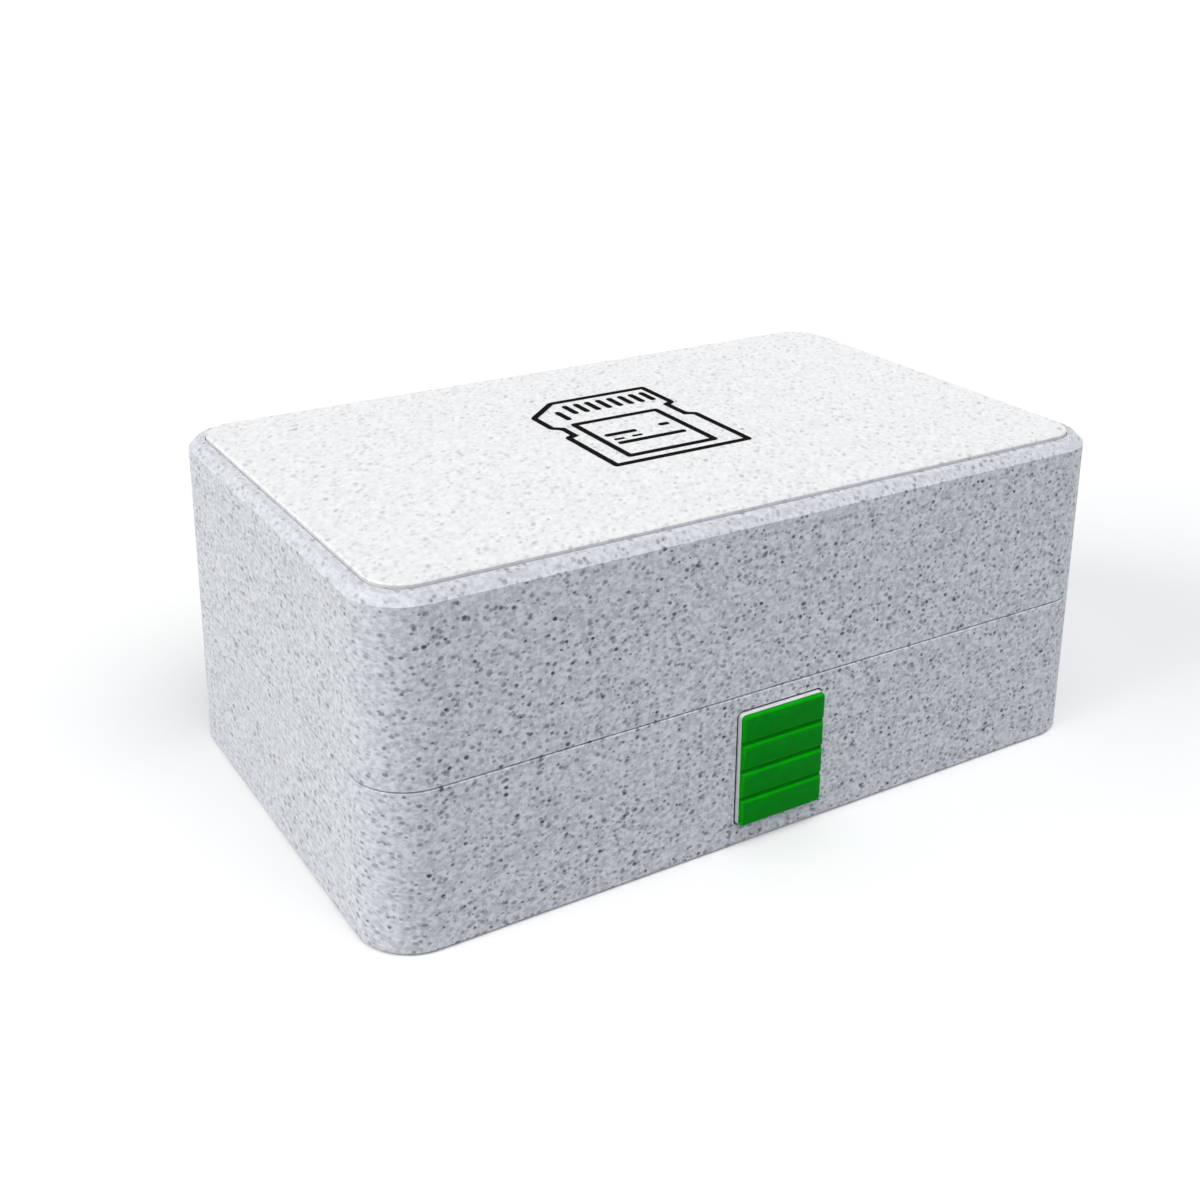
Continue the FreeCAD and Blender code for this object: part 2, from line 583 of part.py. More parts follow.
# Hinge pins along X
def hinge_pin(label, start):
    pin = doc.addObject("Part::Cylinder", label)
    pin.Label = label
    bind(pin, "Radius", d.hinge_pin / 2)
    bind(pin, "Height", barrel - 2 * d.pin_short)
    place(pin, start, axis_y, axis_z, FreeCAD.Rotation(V(0, 1, 0), 90))
    return pin


pin_left = hinge_pin("hinge_pin_left", d.pin_short - barrel_end)
pin_right = hinge_pin("hinge_pin_right", barrel_start + d.pin_short)


# Two circular arcs that leave one point and reach another along the given tangents
def biarc(start, start_way, end, end_way):
    chord = end - start
    ways = start_way + end_way
    a = 4 - ways.dot(ways)
    b = chord.dot(ways)
    reach = (math.sqrt(b * b + a * chord.dot(chord)) - b) / a
    knee_a = start + start_way * reach
    knee_b = end - end_way * reach
    joint = (knee_a + knee_b) * 0.5
    edges = []
    for p, knee, q in ((start, knee_a, joint), (joint, knee_b, end)):
        middle = (p + q) * 0.5
        rise = (knee - middle).Length
        half = (p - middle).Length
        radius = half * reach / rise
        bow = radius - math.sqrt(radius * radius - half * half)
        edges.append(Part.Arc(p, middle + (knee - middle) * (bow / rise), q).toShape())
    return edges


# Coil spring between the button and the bracket, one unbroken wire wound about Y
spring = doc.addObject("Part::Feature", "button_spring")
spring.Label = "button_spring"
wire_radius = d.spring_wire.value / 2
coil_radius = d.spring_diameter.value / 2 - wire_radius
turns = int(round(d.spring_turns.value))
coil_start = wire_radius + d.spring_seat.value
coil_length = spring_room.value - 2 * coil_start
rise_per_radian = coil_length / (2 * math.pi * turns)


def coil_point(angle):
    return V(coil_radius * math.cos(angle), coil_start + rise_per_radian * angle, coil_radius * math.sin(angle))


def coil_way(angle):
    way = V(-coil_radius * math.sin(angle), rise_per_radian, coil_radius * math.cos(angle))
    return way.normalize()


path = []
for k in range(4 * turns):
    a0 = math.pi / 2 * k
    a1 = math.pi / 2 * (k + 1)
    path += biarc(coil_point(a0), coil_way(a0), coil_point(a1), coil_way(a1))
out = V(1, 0, 0)
side = coil_way(0).cross(out)
sides = int(round(d.spring_sides.value))
section = []
for k in range(sides + 1):
    angle = 2 * math.pi * (k % sides) / sides
    section.append(coil_point(0) + (out * math.cos(angle) + side * math.sin(angle)) * wire_radius)
ring = Part.makePolygon(section)
spring.Shape = Part.Wire(path).makePipeShell([ring], True, False)
spring.Placement = FreeCAD.Placement(V(0, flange_back.value, spring_z.value), FreeCAD.Rotation())
print("least gap between the spring's turns: %.3f" % (coil_length / turns - d.spring_wire.value))
print("travel of the button: %.3f" % button_travel.value)

doc.recompute()

PIECES = [base, lid, panel, button, face, bracket, catch, tray] + racks + [pin_left, pin_right, spring]
for thing in doc.Objects:
    if "Invalid" in thing.State or "Error" in thing.State:
        raise RuntimeError("%s is %s" % (thing.Label, thing.State))
    if thing.TypeId == "PartDesign::Pocket" and thing.Shape.Volume > thing.BaseFeature.Shape.Volume - 1e-6:
        raise RuntimeError("%s cuts nothing" % thing.Label)
for piece in PIECES:
    shape = piece.Shape
    if shape.isNull() or not shape.isValid() or len(shape.Solids) != 1:
        raise RuntimeError("%s has no single valid solid" % piece.Label)
    box = shape.BoundBox
    print("%-16s %9.2f mm3  x %7.2f %7.2f  y %7.2f %7.2f  z %6.2f %6.2f" % (
        piece.Label, shape.Volume, box.XMin, box.XMax, box.YMin, box.YMax, box.ZMin, box.ZMax))
    shape.exportStep("parts/%s.step" % piece.Label)
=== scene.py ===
import json
import math

import bpy
from mathutils import Matrix, Vector


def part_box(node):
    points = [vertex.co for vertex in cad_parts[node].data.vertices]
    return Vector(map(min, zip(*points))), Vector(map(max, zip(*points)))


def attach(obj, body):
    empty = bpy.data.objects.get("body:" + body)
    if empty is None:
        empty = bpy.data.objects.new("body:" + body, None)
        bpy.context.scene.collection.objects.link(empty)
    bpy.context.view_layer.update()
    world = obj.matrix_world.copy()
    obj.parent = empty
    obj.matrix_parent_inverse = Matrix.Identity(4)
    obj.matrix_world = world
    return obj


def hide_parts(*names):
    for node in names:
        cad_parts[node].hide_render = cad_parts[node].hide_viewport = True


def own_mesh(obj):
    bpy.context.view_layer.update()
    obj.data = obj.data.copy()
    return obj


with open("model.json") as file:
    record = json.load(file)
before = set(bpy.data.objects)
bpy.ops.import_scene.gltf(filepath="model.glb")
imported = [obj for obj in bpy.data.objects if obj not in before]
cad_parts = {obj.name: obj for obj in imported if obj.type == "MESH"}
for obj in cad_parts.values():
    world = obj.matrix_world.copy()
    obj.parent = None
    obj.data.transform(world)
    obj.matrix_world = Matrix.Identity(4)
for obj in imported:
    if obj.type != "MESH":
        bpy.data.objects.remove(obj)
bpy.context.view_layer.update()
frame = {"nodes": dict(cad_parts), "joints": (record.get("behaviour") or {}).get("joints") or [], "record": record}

# Frame: X along the length, Y from the button at the front to the hinge at the back, Z up from the table.
# Lengths in this script are millimetres until MM turns them into metres.
MM = 0.001

# Where the photograph was taken from, as a camera on a stand would be set
CAMERA_AZIMUTH = -31.42
CAMERA_HEIGHT_ANGLE = 17.96
CAMERA_ROLL = 0.43
CAMERA_DISTANCE = 208.6
CAMERA_SLIDE = (5.05, -22.66)
CAMERA_AIM = (0.0, 0.0, 21.0)
CAMERA_LENS = 47.37
CAMERA_SHIFT = -0.16
CAMERA_CLIP = (1.0, 100000.0)

# Studio: a soft sky, three soft lights and a pale table.
# Each light has its strength, the angle that it spans in the sky, the way that it shines and its colour.
SKY_LIGHT = 0.22
SKY_COLOUR = (0.95, 0.99, 1.06, 1.0)
SKY_SEEN = (1.0, 1.0, 1.0, 1.0)
LIGHTS = {
    "top_light": (0.62, 60.0, (0.0, 0.4, -0.92), (1.0, 1.0, 1.0)),
    "left_light": (0.64, 50.0, (0.84, -0.14, -0.3), (1.02, 1.0, 0.96)),
    "fill_light": (0.16, 60.0, (-0.9, 0.25, -0.35), (1.0, 1.0, 1.0)),
}
TABLE_SIZE = 6000.0
TABLE_COLOUR = (0.97, 0.97, 0.97, 1.0)
TABLE_FIBRE = 1.5
TABLE_FIBRE_COLOUR = (0.9797, 0.9797, 0.9797, 1.0)
TABLE_BOUNCE = (0.345, 0.36, 0.385, 1.0)
TABLE_ROUGHNESS = 0.9

# Three sorts of dark grains in the pale plastic. The reach belongs to the largest grains and is a share of
# the spacing. The lower the power, the more of the grains are dark. The shift keeps the sorts apart.
FINE_GRAINS = {"spacing": 0.7, "reach": 0.52, "power": 0.6, "shift": (13.0, 27.0, 41.0),
               "share": 0.8, "colour": (0.095, 0.115, 0.142, 1.0)}
COARSE_GRAINS = {"spacing": 0.8, "reach": 0.46, "power": 0.95, "shift": (0.0, 0.0, 0.0),
                 "share": 1.0, "colour": (0.030, 0.043, 0.064, 1.0)}
BOLD_GRAINS = {"spacing": 1.2, "reach": 0.275, "power": 0.65, "shift": (47.0, 11.0, 23.0),
               "share": 1.12, "colour": (0.003, 0.009, 0.022, 1.0)}
# The smallest grains have this share of the largest reach, and a grain is full within this share of its own
SMALLEST_GRAIN = 0.45
GRAIN_CORE = 0.45
# Every point moves by up to half of WANDER, in waves of this width, so that the grains aren't round
WANDER = 0.22
WANDER_WIDTH = 0.3

# The pale ground between the grains: its mottle, its patches and the printed layers, with their shares,
# and how far its tone goes down and up in each of the three colours.
# The grains have the first strength of GRAIN_FADE in dull patches and the second in bright ones.
MOTTLE_WIDTH = 0.46
MOTTLE_SHARE = 0.84
PATCH_WIDTH = 2.2
PATCH_SHARE = 0.08
LAYER_WIDTH = 1.0
LAYER_STRETCH = (0.02, 0.02, 3.0)
LAYER_SHARE = 0.08
TONE_SPREAD = (0.25, 0.235, 0.22)
GRAIN_FADE = (0.9, 0.75)

# The skin of the plastics: its depth, what its relief is made of and how strong it is on the speckled and on
# the plain ones, and how far their roughness goes
SKIN_DEPTH = 0.03
SKIN_WIDTH = 0.22
SPECKLED_RELIEF = {"layers": 0.6, "skin": 0.4, "grains": 0.15, "strength": 0.18}
PLAIN_RELIEF = {"layers": 0.4, "skin": 0.6, "strength": 0.3}
SPECKLED_ROUGHNESS_SPREAD = 0.16
GRAIN_SMOOTHNESS = 0.08
PLAIN_ROUGHNESS_SPREAD = 0.14
SPECKLED_GLOSS = 0.4
# The tone of a plain plastic goes down and up by these factors, in patches this many grains wide
PLAIN_DARK = (0.86, 0.86, 0.86)
PLAIN_LIGHT = (1.12, 1.12, 1.12)
PLAIN_PATCH = 6
PLAIN_PATCH_SHARE = 0.6
PLAIN_LAYER_SHARE = 0.4

# The rim of the lid starts at this height, and the end walls this far from the middle.
# The grains show less there, a painted sheen as of bright light on them, and the change takes the length of the
# blend.
RIM_HEIGHT = 40.3
RIM_BLEND = 0.3
END_START = 46.0
END_BLEND = 4.0
# The side of the raised panel is darkened with painted shade below this height, and the button behind the face
# # of the front wall is darkened with painted shade, as shade falls in its gap
PANEL_FOOT = 41.85
PANEL_BLEND = 0.12
CREASE_SHADE_SHARE = 0.24
PAINTED_SHADE_COLOUR = (0.1, 0.105, 0.12, 1.0)
FRONT_WALL = -31.0
GAP_BLEND = 0.2
GAP_SHADE_SHARE = 0.85
GAP_SHADE_COLOUR = (0.06, 0.06, 0.065, 1.0)

# Fine marks along the wire and the pins, and where their roughness starts and how far it goes
STEEL_MARK = 0.08
STEEL_STRETCH = (0.05, 1.0, 1.0)
STEEL_DARK = (0.46, 0.46, 0.47, 1.0)
STEEL_LIGHT = (0.7, 0.7, 0.71, 1.0)
STEEL_DEPTH = 0.01
STEEL_RELIEF = 0.2
STEEL_ROUGHNESS = 0.22
STEEL_ROUGHNESS_SPREAD = 0.2

# The sign of a memory card on the lid, a thin dark inlay that stands a little proud.
# Its points are measured from its own centre.
SIGN_CENTRE = (-0.06, 2.35)
SIGN_LINE = 0.78
SIGN_THIN_LINE = 0.4
SIGN_CORNER = 0.45
SIGN_HEIGHT = 0.1
SIGN_SINK = 0.05
SIGN_CARD = (
    (-10.15, -12.8), (10.15, -12.8), (10.15, -0.35), (9.0, 0.3), (9.0, 4.3), (10.15, 4.85), (10.15, 12.8),
    (-4.95, 12.8), (-10.15, 8.25), (-10.15, 3.15), (-9.0, 2.3), (-9.0, -0.2), (-10.15, -0.55),
)
SIGN_LABEL = ((-6.95, -10.7), (6.4, -10.7), (6.4, 3.65), (-6.95, 3.65))
CONTACT_COUNT = 8
CONTACT_FIRST = -3.85
CONTACT_LAST = 8.27
CONTACT_ENDS = (7.05, 10.65)
# The contact by the cut corner: its place along X and its ends
LOW_CONTACT = (-5.95, 5.3, 8.85)
# Strokes on the label: left end, right end and place along Y
LABEL_STROKES = ((-5.35, 4.7, -5.75), (-5.35, -0.7, -2.5), (3.0, 4.5, -2.15))
THIN_STROKES = ((-5.1, -3.65, -4.35), (-2.4, -0.9, -4.25))
# Corner radius of a stroke as a share of its width
STROKE_ROUND = 0.4

# The green pad on the button: bars with soft edges on a thin web
PAD_WEB = 0.08
PAD_GROOVE = 0.5
PAD_BARS = 4
PAD_CORNER = 0.5
PAD_EDGE = 0.32
PAD_SINK = 0.03

# The coil behind the button: round wire, wound like the solid it stands for
COIL_WIRE = 0.5
COIL_TURNS = 3
COIL_STEPS = 32
COIL_SIDES = 12

# The catch on the lid: a root pad on the front wall and a springy tongue that is held in it.
# The pressed button pushes the barb back.
CATCH_THICKNESS = 1.0
CATCH_BARB = (16.35, 17.55)
CATCH_ROOT = (-28.6, 27.59)
CATCH_TENON = 1.0
CATCH_EDGE = 0.15

# Modelling: steps round a small edge and round a larger corner, the angle below which faces are shaded
# smooth, how near a point has to be to count as lying on a plane or corner, and the cosines from which an
# edge counts as lying along an axis and a face as facing the front
EDGE_STEPS = 3
CORNER_STEPS = 6
SMOOTH_ANGLE = 35.0
NEAR = 0.01
STRAIGHT = 0.99
FACING = 0.98


class Wire:
    """One output in a material. Sums and products with it add Math nodes."""

    def __init__(self, tree, out=None):
        self.tree = tree
        self.out = out

    def node(self, kind, settings=None, inputs=None, output=0):
        """Adds a node, gives it its settings and inputs, and returns one of its outputs."""
        made = self.tree.nodes.new(kind)
        for name, value in (settings or {}).items():
            setattr(made, name, value)
        for key, value in (inputs or {}).items():
            if isinstance(value, Wire):
                self.tree.links.new(value.out, made.inputs[key])
            else:
                made.inputs[key].default_value = value
        return Wire(self.tree, made.outputs[output])

    def beside(self, output):
        """Another output of the same node."""
        return Wire(self.tree, self.out.node.outputs[output])

    def maths(self, operation, *terms):
        return self.node("ShaderNodeMath", {"operation": operation}, dict(enumerate(terms)))

    def vectors(self, operation, *terms):
        return self.node("ShaderNodeVectorMath", {"operation": operation}, dict(enumerate(terms)))

    def __add__(self, other):
        return self.maths("ADD", self, other)

    def __sub__(self, other):
        return self.maths("SUBTRACT", self, other)

    def __mul__(self, other):
        return self.maths("MULTIPLY", self, other)

    def __radd__(self, other):
        return self.maths("ADD", other, self)

    def __rsub__(self, other):
        return self.maths("SUBTRACT", other, self)

    def __rmul__(self, other):
        return self.maths("MULTIPLY", other, self)


# Sockets of the Mix node when it mixes colours
MIX_A = 6
MIX_B = 7
MIX_RESULT = 2


def mix_colour(share, a, b):
    return share.node("ShaderNodeMix", {"data_type": "RGBA"}, {0: share, MIX_A: a, MIX_B: b}, MIX_RESULT)


def shade(colour, factors):
    """A colour made darker or brighter in each of its three parts."""
    return tuple(part * factor for part, factor in zip(colour, factors)) + (1.0,)


def new_finish(name):
    """An empty material: its Wire, and its surface shader."""
    material = bpy.data.materials.new(name)
    material.use_nodes = True
    return material, Wire(material.node_tree), material.node_tree.nodes["Principled BSDF"]


def plug(wire, shader, socket):
    wire.tree.links.new(wire.out, shader.inputs[socket])


def plug_relief(relief, shader, strength, depth):
    bump = {"Strength": strength, "Distance": depth * MM, "Height": relief}
    plug(relief.node("ShaderNodeBump", None, bump), shader, "Normal")


def place_of(start):
    return start.node("ShaderNodeTexCoord", output="Object")


def stretched(place, stretch, shift=(0.0, 0.0, 0.0)):
    shift = [part * MM for part in shift]
    return place.node("ShaderNodeMapping", None, {"Vector": place, "Scale": stretch, "Location": shift})


def cloud(place, width, detail=2.0, output=0):
    """Soft noise whose patches are about this wide."""
    noise = {"Vector": place, "Scale": 1.0 / (width * MM), "Detail": detail}
    return place.node("ShaderNodeTexNoise", None, noise, output)


def layer_lines(place):
    """Noise that is drawn out along the walls and thin upwards."""
    return cloud(stretched(place, LAYER_STRETCH), LAYER_WIDTH)


def remap(wire, low, high, to_low=0.0, to_high=1.0):
    limits = {"Value": wire, "From Min": low, "From Max": high, "To Min": to_low, "To Max": to_high}
    return wire.node("ShaderNodeMapRange", {"interpolation_type": "SMOOTHSTEP"}, limits)


def spread(noise):
    """Noise that uses the whole range from 0 to 1."""
    return remap(noise, 0.3, 0.7)


def past(length, start, blend):
    """0 before the start and 1 after it, with a soft change. A negative blend turns the sides round."""
    return remap(length, start * MM, (start + blend) * MM)


def wander(place):
    """The place with a small random shift of every point."""
    noise = cloud(place, WANDER_WIDTH, 1.0, "Color")
    centred = noise.vectors("SUBTRACT", noise, (0.5, 0.5, 0.5))
    shift = centred.node("ShaderNodeVectorMath", {"operation": "SCALE"}, {0: centred, "Scale": WANDER * MM})
    return place.vectors("ADD", place, shift)


def flecks(place, stretch, grains):
    """Scattered grains of one sort, each with its own size and darkness."""
    cells = {"Vector": stretched(place, stretch, grains["shift"]), "Scale": 1.0 / (grains["spacing"] * MM)}
    distance = place.node("ShaderNodeTexVoronoi", None, cells)
    chance = distance.beside("Color")
    size = chance.node("ShaderNodeSeparateColor", None, {"Color": chance})
    dark = size.beside("Green")
    reach = grains["reach"] * (SMALLEST_GRAIN + size * (1.0 - SMALLEST_GRAIN))
    inside = remap(distance, reach, reach * GRAIN_CORE)
    return inside * dark.maths("POWER", dark, grains["power"])


def speckled_plastic(name, pale, strength, drawn, turn=0.0, calm=(1.0, 1.0), foot=None, rim_painted_shade=0.0,
                     matte=0.5):
    """Pale printed plastic with dark grains in it and faint layer lines along the walls.
    The grains are drawn out along X and Y, after a turn about Z. They are fainter on the rim and on the
    end walls, by the two factors of calm, a painted sheen as of bright light there. Below the height foot
    the plastic is darkened with painted shade, as shade falls in a crease, and the rim is darkened with
    painted shade by the share handled. The roughness starts at matte."""
    material, start, shader = new_finish(name)
    place = place_of(start)
    bent = wander(place)
    bent = bent.node("ShaderNodeVectorRotate", {"rotation_type": "Z_AXIS"},
                     {"Vector": bent, "Angle": math.radians(turn)})
    narrow = (1.0 / drawn[0], 1.0 / drawn[1], 1.0)
    coarse = flecks(bent, narrow, COARSE_GRAINS)
    fine = flecks(bent, narrow, FINE_GRAINS)
    bold = flecks(bent, narrow, BOLD_GRAINS)
    mottle = cloud(stretched(bent, narrow), MOTTLE_WIDTH)
    patches = cloud(stretched(bent, narrow), PATCH_WIDTH)
    layers = layer_lines(place)

    along = place.node("ShaderNodeSeparateXYZ", None, {"Vector": place}, "X")
    height = along.beside("Z")
    on_rim = past(height, RIM_HEIGHT, RIM_BLEND)
    on_end = past(along.maths("ABSOLUTE", along), END_START, END_BLEND)
    # Painted sheen: on the rim and the end walls the grains and the tone are calmed by the factors of calm.
    clear = (1.0 - on_rim * (1.0 - calm[0])) * (1.0 - on_end * (1.0 - calm[1]))

    uneven = spread(patches) * PATCH_SHARE + spread(mottle) * MOTTLE_SHARE + spread(layers) * LAYER_SHARE
    dull = shade(pale, [1.0 - part * strength for part in TONE_SPREAD])
    bright = shade(pale, [1.0 + part * strength for part in TONE_SPREAD])
    tone = mix_colour(0.5 + (uneven - 0.5) * clear, dull, bright)
    amount = strength * clear * remap(patches, 0.35, 0.65, *GRAIN_FADE)
    for spots, grains in ((fine, FINE_GRAINS), (coarse, COARSE_GRAINS), (bold, BOLD_GRAINS)):
        tone = mix_colour(spots * amount * grains["share"], tone, grains["colour"])
    # Painted shade: the foot of the panel's side is darkened, as shade falls in the crease.
    if foot is not None:
        tone = mix_colour(past(height, foot, -PANEL_BLEND) * CREASE_SHADE_SHARE, tone, PAINTED_SHADE_COLOUR)
    # Painted shade: the rim is darkened by the given share.
    if rim_painted_shade > 0.0:
        tone = mix_colour(on_rim * rim_painted_shade, tone, PAINTED_SHADE_COLOUR)
    plug(tone, shader, "Base Color")

    rough = matte + remap(mottle, 0.2, 0.8) * SPECKLED_ROUGHNESS_SPREAD - coarse * GRAIN_SMOOTHNESS
    plug(rough, shader, "Roughness")
    parts = SPECKLED_RELIEF
    skin = cloud(place, SKIN_WIDTH)
    relief = layers * parts["layers"] + skin * parts["skin"] - coarse * parts["grains"]
    plug_relief(relief, shader, parts["strength"], SKIN_DEPTH)
    shader.inputs["Specular IOR Level"].default_value = SPECKLED_GLOSS
    return material


def plain_plastic(name, colour, roughness, grain, gloss=0.35, depth=None):
    """Plastic of one colour, with a slightly uneven tone and a skin of this grain.
    Behind the depth it is darkened with painted shade, as shade falls in the gap."""
    material, start, shader = new_finish(name)
    place = place_of(start)
    patches = spread(cloud(place, grain * PLAIN_PATCH, 3.0))
    layers = layer_lines(place)
    uneven = patches * PLAIN_PATCH_SHARE + layers * PLAIN_LAYER_SHARE
    tone = mix_colour(uneven, shade(colour, PLAIN_DARK), shade(colour, PLAIN_LIGHT))
    # Painted shade: behind the given depth the plastic is darkened, where shade falls in the gap.
    if depth is not None:
        behind = place.node("ShaderNodeSeparateXYZ", None, {"Vector": place}, "Y")
        tone = mix_colour(past(behind, depth, GAP_BLEND) * GAP_SHADE_SHARE, tone, GAP_SHADE_COLOUR)
    plug(tone, shader, "Base Color")
    plug(roughness + (patches - 0.5) * PLAIN_ROUGHNESS_SPREAD, shader, "Roughness")
    relief = cloud(place, grain) * PLAIN_RELIEF["skin"] + layers * PLAIN_RELIEF["layers"]
    plug_relief(relief, shader, PLAIN_RELIEF["strength"], SKIN_DEPTH)
    shader.inputs["Specular IOR Level"].default_value = gloss
    return material


def drawn_steel(name):
    """Bright wire and pins with fine marks along X."""
    material, start, shader = new_finish(name)
    marks = cloud(stretched(place_of(start), STEEL_STRETCH), STEEL_MARK)
    plug(mix_colour(spread(marks), STEEL_DARK, STEEL_LIGHT), shader, "Base Color")
    plug(STEEL_ROUGHNESS + marks * STEEL_ROUGHNESS_SPREAD, shader, "Roughness")
    plug_relief(marks, shader, STEEL_RELIEF, STEEL_DEPTH)
    shader.inputs["Metallic"].default_value = 1.0
    return material


FINISH = {
    # The shell gets a painted sheen that calms its grains on the rim and end walls, and painted shade on its rim.
    "shell": speckled_plastic("shell_plastic", (0.672, 0.694, 0.732), strength=1.0, drawn=(1.25, 1.8),
                              calm=(0.68, 0.77), rim_painted_shade=0.08),
    # The panel gets painted shade at the foot of its side.
    "top_panel": speckled_plastic("panel_plastic", (0.83, 0.835, 0.84), strength=0.32, drawn=(1.25, 2.1),
                                  turn=37.0, foot=PANEL_FOOT, matte=0.84),
    # The button gets painted shade in its gap behind the front wall.
    "button_body": plain_plastic("button_plastic", (0.74, 0.75, 0.78), roughness=0.5, grain=0.3,
                                 depth=FRONT_WALL),
    "button_green": plain_plastic("green_plastic", (0.002, 0.26, 0.01), roughness=0.6, grain=0.25,
                                  gloss=0.04),
    "latch_parts": plain_plastic("latch_plastic", (0.5, 0.52, 0.55), roughness=0.5, grain=0.3),
    "tray": speckled_plastic("tray_plastic", (0.72, 0.735, 0.76), strength=0.8, drawn=(1.25, 1.9)),
    "rack": plain_plastic("rack_plastic", (0.022, 0.022, 0.025), roughness=0.6, grain=0.3),
    "steel": drawn_steel("drawn_steel"),
}
# A lighter green for the soft edges of the bars: a painted highlight.
GREEN_PAINTED_HIGHLIGHT = plain_plastic("green_highlight_plastic", (0.001, 0.37, 0.003), roughness=0.6, grain=0.25, gloss=0.04)
SIGN_FINISH = plain_plastic("sign_plastic", (0.011, 0.011, 0.012), roughness=0.6, grain=0.2, gloss=0.0)

for row in frame["record"]["subparts"]:
    for holder in frame["nodes"][row["node"]].material_slots:
        holder.material = FINISH[row["material_slot"]]


def stand_camera():
    azimuth = math.radians(CAMERA_AZIMUTH)
    height_angle = math.radians(CAMERA_HEIGHT_ANGLE)
    roll = math.radians(CAMERA_ROLL)
    back = Vector((math.sin(azimuth) * math.cos(height_angle), -math.cos(azimuth) * math.cos(height_angle),
                   math.sin(height_angle)))
    level_right = Vector((0, 0, 1)).cross(back).normalized()
    level_up = back.cross(level_right)
    right = math.cos(roll) * level_right + math.sin(roll) * level_up
    up = math.cos(roll) * level_up - math.sin(roll) * level_right
    spot = Vector(CAMERA_AIM) - CAMERA_SLIDE[0] * right - CAMERA_SLIDE[1] * up + CAMERA_DISTANCE * back
    lens = bpy.data.cameras.new("camera")
    lens.lens = CAMERA_LENS
    lens.shift_y = CAMERA_SHIFT
    lens.clip_start = CAMERA_CLIP[0] * MM
    lens.clip_end = CAMERA_CLIP[1] * MM
    holder = bpy.data.objects.new("camera", lens)
    bpy.context.scene.collection.objects.link(holder)
    holder.matrix_world = Matrix.Translation(spot * MM) @ Matrix((right, up, back)).transposed().to_4x4()
    bpy.context.scene.camera = holder


def soft_sun(name, strength, angle, towards, colour):
    lamp = bpy.data.lights.new(name, "SUN")
    lamp.energy = strength * math.pi
    lamp.color = colour
    lamp.angle = math.radians(angle)
    holder = bpy.data.objects.new(name, lamp)
    bpy.context.scene.collection.objects.link(holder)
    holder.rotation_euler = Vector(towards).to_track_quat("-Z", "Y").to_euler()


def seen_ray(start):
    """1 for what the camera sees, also in a gloss or through glass, and 0 for light that only bounces."""
    straight = start.node("ShaderNodeLightPath", output="Is Camera Ray")
    glossy = straight.beside("Is Glossy Ray")
    through = straight.beside("Is Transmission Ray")
    return straight.maths("MINIMUM", straight + glossy + through, 1.0)


def hang_sky():
    world = bpy.data.worlds.new("studio")
    bpy.context.scene.world = world
    world.use_nodes = True
    sky = world.node_tree.nodes["Background"]
    seen = seen_ray(Wire(world.node_tree))
    plug(mix_colour(seen, SKY_COLOUR, SKY_SEEN), sky, "Color")
    plug(SKY_LIGHT + seen * (1.0 - SKY_LIGHT), sky, "Strength")


def lay_table():
    bpy.ops.mesh.primitive_plane_add(size=TABLE_SIZE * MM)
    table = bpy.context.active_object
    table.name = "table"
    material, start, shader = new_finish("table_paper")
    fibre = cloud(place_of(start), TABLE_FIBRE, 3.0)
    paper = mix_colour(fibre, TABLE_COLOUR, TABLE_FIBRE_COLOUR)
    plug(mix_colour(seen_ray(start), TABLE_BOUNCE, paper), shader, "Base Color")
    shader.inputs["Roughness"].default_value = TABLE_ROUGHNESS
    shader.inputs["Specular IOR Level"].default_value = 0.0
    table.data.materials.append(material)


def select_edges(piece, wanted):
    """In edit mode, selects the edges that the test accepts and nothing else."""
    bpy.ops.mesh.select_mode(type="EDGE")
    bpy.ops.mesh.select_all(action="DESELECT")
    bpy.ops.object.mode_set(mode="OBJECT")
    for edge in piece.data.edges:
        edge.select = wanted(edge)
    bpy.ops.object.mode_set(mode="EDIT")


def along_axis(piece, edge, axis):
    a, b = (piece.data.vertices[v].co for v in edge.vertices)
    return abs((a - b).normalized()[axis]) > STRAIGHT


def on_plane(piece, edge, axis, place):
    """Whether both ends of an edge lie at this place along the axis."""
    return all(abs(piece.data.vertices[v].co[axis] / MM - place) < NEAR for v in edge.vertices)


def round_edges(radius, steps):
    """In edit mode, rounds what is selected."""
    bpy.ops.mesh.bevel(offset=radius * MM, segments=steps, affect="EDGES")


def close_edit():
    bpy.ops.object.mode_set(mode="OBJECT")


def block(low, high):
    """A box between two corners, left active in edit mode."""
    low = Vector(low) * MM
    high = Vector(high) * MM
    bpy.ops.object.select_all(action="DESELECT")
    bpy.ops.mesh.primitive_cube_add(size=1.0, location=(low + high) / 2)
    piece = bpy.context.active_object
    piece.scale = high - low
    bpy.ops.object.transform_apply(location=True, rotation=True, scale=True)
    bpy.ops.object.mode_set(mode="EDIT")
    return piece


def flat_face(corners):
    """One face with these corners, left active in edit mode with all of it selected."""
    mesh = bpy.data.meshes.new("outline")
    mesh.from_pydata(corners, [], [list(range(len(corners)))])
    piece = bpy.data.objects.new("outline", mesh)
    bpy.context.scene.collection.objects.link(piece)
    bpy.ops.object.select_all(action="DESELECT")
    piece.select_set(True)
    bpy.context.view_layer.objects.active = piece
    bpy.ops.object.mode_set(mode="EDIT")
    bpy.ops.mesh.select_mode(type="FACE")
    bpy.ops.mesh.select_all(action="SELECT")
    return piece


def turn_faces_out():
    """In edit mode, selects everything and turns all faces outwards."""
    bpy.ops.mesh.select_all(action="SELECT")
    bpy.ops.mesh.normals_make_consistent(inside=False)


